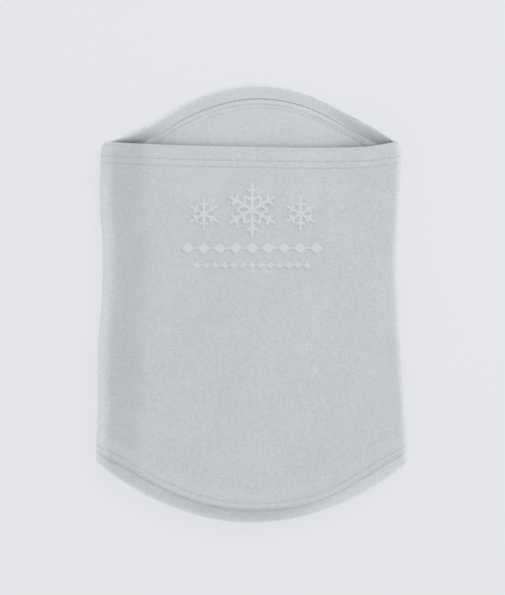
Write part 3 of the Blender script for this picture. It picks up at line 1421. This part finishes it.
class GAITER_OT_side_seams(bpy.types.Operator):
    """Sew the overlock threads round the seam allowances inside both side seams"""

    bl_idname = "gaiter.side_seams"
    bl_label = "Side Seams"

    def execute(self, context):
        unit = overlock_unit()
        ends = MOUTH_CORNER - size_of("hem_depth") - OVERLOCK_END_GAP
        ys = np.linspace(-ends, ends, 60)
        for name, side, seed in (("left_seam_overlock", -1, 11), ("right_seam_overlock", 1, 12)):
            half = half_width(np.full_like(ys, side), ys)
            points = np.stack([side * (half - OVERLOCK_INSET), ys, np.full_like(ys, MIDDLE_Z)], -1)
            outward = np.tile([[0.0, 0.0, 1.0]], (len(ys), 1))
            if side > 0:
                points = points[::-1]
            path = path_object(f"{name}_path", points, outward, False)
            piece = sew(f"{name}_threads", path, unit, int(2 * ends / OVERLOCK_PITCH), seed, "looper")
            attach(piece, "root")
            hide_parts(name)
        bpy.data.objects.remove(unit)
        return {"FINISHED"}


class GAITER_OT_hem_stitches(bpy.types.Operator):
    """Sew the twin needle rows outside both hems and the looper threads inside them"""

    bl_idname = "gaiter.hem_stitches"
    bl_label = "Hem Stitches"

    def execute(self, context):
        needle = needle_unit()
        looper = looper_unit()
        first = size_of("outer_row")
        gauge = size_of("needle_gauge")
        rows = (("outer_needle_thread", needle, "thread"), ("inner_needle_thread", needle, "thread"),
                ("looper_thread", looper, "looper"))
        for number, which in enumerate(("mouth", "lower")):
            stitches = stitch_count(which)
            rings = (outer_ring(which, first), outer_ring(which, first + gauge),
                     inner_ring(which, first, first + gauge))
            for seed, ((kind, unit, yarn), (points, outward)) in enumerate(zip(rows, rings)):
                name = f"{which}_hem_{kind}"
                path = path_object(f"{name}_path", points, outward, True)
                piece = sew(f"{name}_stitches", path, unit, stitches, 20 + 5 * number + seed, yarn)
                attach(piece, "root")
                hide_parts(name)
        bpy.data.objects.remove(needle)
        bpy.data.objects.remove(looper)
        return {"FINISHED"}


class GAITER_OT_care_label(bpy.types.Operator):
    """Build the blank care label that is caught in the left side seam, inside"""

    bl_idname = "gaiter.care_label"
    bl_label = "Care Label"

    def execute(self, context):
        low, high = (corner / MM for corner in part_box("care_label"))
        across, along = LABEL_GRID
        xs = np.linspace(low.x, high.x, across)
        ys = np.linspace(low.y, high.y, along)
        grid_x, grid_y = np.meshgrid(xs, ys, indexing="ij")
        share = (grid_x - low.x) / (high.x - low.x)
        lift = 0.7 * share**2 + 0.35 * np.sin(share * 5 + grid_y * 0.12) * share
        base = low.z + LABEL_GAP + lift + np.maximum(0, 0.35 - share) * 5.5
        top = np.stack([grid_x, grid_y, base + LABEL_THICKNESS], -1).reshape(-1, 3)
        under = np.stack([grid_x, grid_y, base], -1).reshape(-1, 3)
        faces = []
        shift = across * along
        for i in range(across - 1):
            for j in range(along - 1):
                a, b = i * along + j, (i + 1) * along + j
                faces.append((a, b, b + 1, a + 1))
                faces.append((a + shift, a + 1 + shift, b + 1 + shift, b + shift))
        rim = ([i * along for i in range(across)] + [(across - 1) * along + j for j in range(1, along)]
               + [i * along + along - 1 for i in range(across - 2, -1, -1)] + list(range(along - 2, 0, -1)))
        for here, there in zip(rim, rim[1:] + rim[:1]):
            faces.append((here, there, there + shift, here + shift))
        mesh = mesh_from("care_label_ribbon", np.concatenate([top, under]), faces)
        turn_out(mesh, merge=True)
        shade_smooth(mesh)
        label = new_object("care_label_ribbon", mesh)
        label.data.materials.append(get_material("label_ribbon", label_material))
        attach(label, "root")
        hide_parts("care_label")
        return {"FINISHED"}


class GAITER_OT_emblem(bpy.types.Operator):
    """Build the raised tonal emblem on the front panel"""

    bl_idname = "gaiter.emblem"
    bl_label = "Raised Emblem"

    def execute(self, context):
        material = get_material("raised_emblem", emblem_material)
        for node in ("emblem_crystal_middle", "emblem_crystal_left", "emblem_crystal_right",
                     "emblem_band_upper", "emblem_band_lower"):
            piece = soft_relief(node)
            piece.data.materials.append(material)
            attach(piece, "root")
            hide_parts(node)
        return {"FINISHED"}


def soft_relief(node):
    """A soft-edged copy of an emblem plate that follows the lie of the front panel."""
    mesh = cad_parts[node].data.copy()
    mesh.name = f"{node}_relief"
    mesh.materials.clear()
    turn_out(mesh, merge=True)
    piece = new_object(mesh.name, mesh)
    remesh = piece.modifiers.new("remesh", "REMESH")
    remesh.mode = "VOXEL"
    remesh.voxel_size = RELIEF_VOXEL * MM
    soften = piece.modifiers.new("soften", "SMOOTH")
    soften.factor = 0.5
    soften.iterations = 5
    soft = plain_mesh(mesh.name, piece)
    piece.modifiers.clear()
    piece.data = soft
    count = len(soft.vertices)
    co = np.zeros(count * 3)
    soft.vertices.foreach_get("co", co)
    points = co.reshape(-1, 3) / MM
    base = points[:, 2].min()
    height = points[:, 2] - base
    height *= (size_of("emblem_height") + RELIEF_ROOT) / height.max()
    across = points[:, 0] / (half_width(np.sign(points[:, 0]), points[:, 1]) - SIDE_RADIUS)
    surface = FRONT.outside(across, np.zeros(count), points[:, 1])
    points[:, 2] = surface[:, 2] - RELIEF_ROOT + height
    points[:, 2] += RELIEF_GRAIN * noise_at(points, 1.6, 6.0) * (height > 0.3)
    soft.vertices.foreach_set("co", (points * MM).ravel())
    soft.update()
    shade_smooth(soft)
    return piece


class GAITER_OT_stage(bpy.types.Operator):
    """Set the camera, the soft studio light and the pale floor"""

    bl_idname = "gaiter.stage"
    bl_label = "Stage"

    def execute(self, context):
        scene = context.scene
        add_camera(scene)
        add_floor()
        add_area_light("key_softbox", KEY_PLACE, KEY_SIZE, KEY_POWER)
        add_area_light("side_softbox", SIDE_PLACE, SIDE_SIZE, SIDE_POWER)
        scene.world = studio_world()
        scene.view_settings.view_transform = "Standard"
        return {"FINISHED"}


def add_camera(scene):
    data = bpy.data.cameras.new("camera")
    data.sensor_width = 36.0
    data.lens = data.sensor_width * (CAMERA_HEIGHT - FRONT_HIGH.z * MM) / VIEW_HEIGHT
    camera = new_object("camera", data)
    camera.location = (CAMERA_SHIFT_X, CAMERA_SHIFT_Y, CAMERA_HEIGHT)
    scene.camera = camera


def studio_world():
    """A light tent: dim overhead, and brighter walls that light the edges of the cloth from the side."""
    world = bpy.data.worlds.new("studio")
    world.use_nodes = True
    tree = world.node_tree
    background = tree.nodes["Background"]
    background.inputs["Color"].default_value = WORLD_COLOUR
    direction = tree.nodes.new("ShaderNodeTexCoord").outputs["Generated"]
    split = tree.nodes.new("ShaderNodeSeparateXYZ")
    tree.links.new(direction, split.inputs[0])
    strength = range_node(tree, split.outputs["Z"], 0.0, WALL_HEIGHT, WALL_STRENGTH, WORLD_STRENGTH)
    tree.links.new(strength, background.inputs["Strength"])
    return world


def add_area_light(name, place, size, power):
    data = bpy.data.lights.new(name, "AREA")
    data.shape = "SQUARE"
    data.size = size
    data.energy = power
    light = new_object(name, data)
    light.location = place
    light.rotation_euler = (-Vector(place)).to_track_quat("-Z", "Y").to_euler()


def add_floor():
    """A wide flat floor at the height that the cloth lies on."""
    reach = 4000.0
    points = [(-reach, -reach, 0), (reach, -reach, 0), (reach, reach, 0), (-reach, reach, 0)]
    mesh = mesh_from("stage_floor", points, [(0, 1, 2, 3)])
    mesh.materials.append(floor_material())
    new_object("stage_floor", mesh)


class GAITER_PT_sidebar(bpy.types.Panel):
    """Gaiter tools in the sidebar"""

    bl_label = "Neck Gaiter"
    bl_idname = "GAITER_PT_sidebar"
    bl_space_type = "VIEW_3D"
    bl_region_type = "UI"
    bl_category = "Gaiter"

    def draw(self, context):
        layout = self.layout
        for group in (context.scene.gaiter_sizes, context.scene.gaiter_colours):
            box = layout.box()
            for name in group.__annotations__:
                box.prop(group, name)
        for operator in OPERATORS:
            layout.operator(operator.bl_idname)


OPERATORS = (GAITER_OT_stage, GAITER_OT_panels, GAITER_OT_side_seams, GAITER_OT_hem_stitches,
             GAITER_OT_care_label, GAITER_OT_emblem)
CLASSES = (GaiterSizes, GaiterColours, *OPERATORS, GAITER_PT_sidebar)


def register():
    for cls in CLASSES:
        bpy.utils.register_class(cls)
    bpy.types.Scene.gaiter_sizes = bpy.props.PointerProperty(type=GaiterSizes)
    bpy.types.Scene.gaiter_colours = bpy.props.PointerProperty(type=GaiterColours)


def unregister():
    del bpy.types.Scene.gaiter_colours
    del bpy.types.Scene.gaiter_sizes
    for cls in reversed(CLASSES):
        bpy.utils.unregister_class(cls)


def main():
    register()
    bpy.ops.gaiter.stage()
    bpy.ops.gaiter.panels()
    bpy.ops.gaiter.side_seams()
    bpy.ops.gaiter.hem_stitches()
    bpy.ops.gaiter.care_label()
    bpy.ops.gaiter.emblem()


if __name__ == "__main__":
    main()
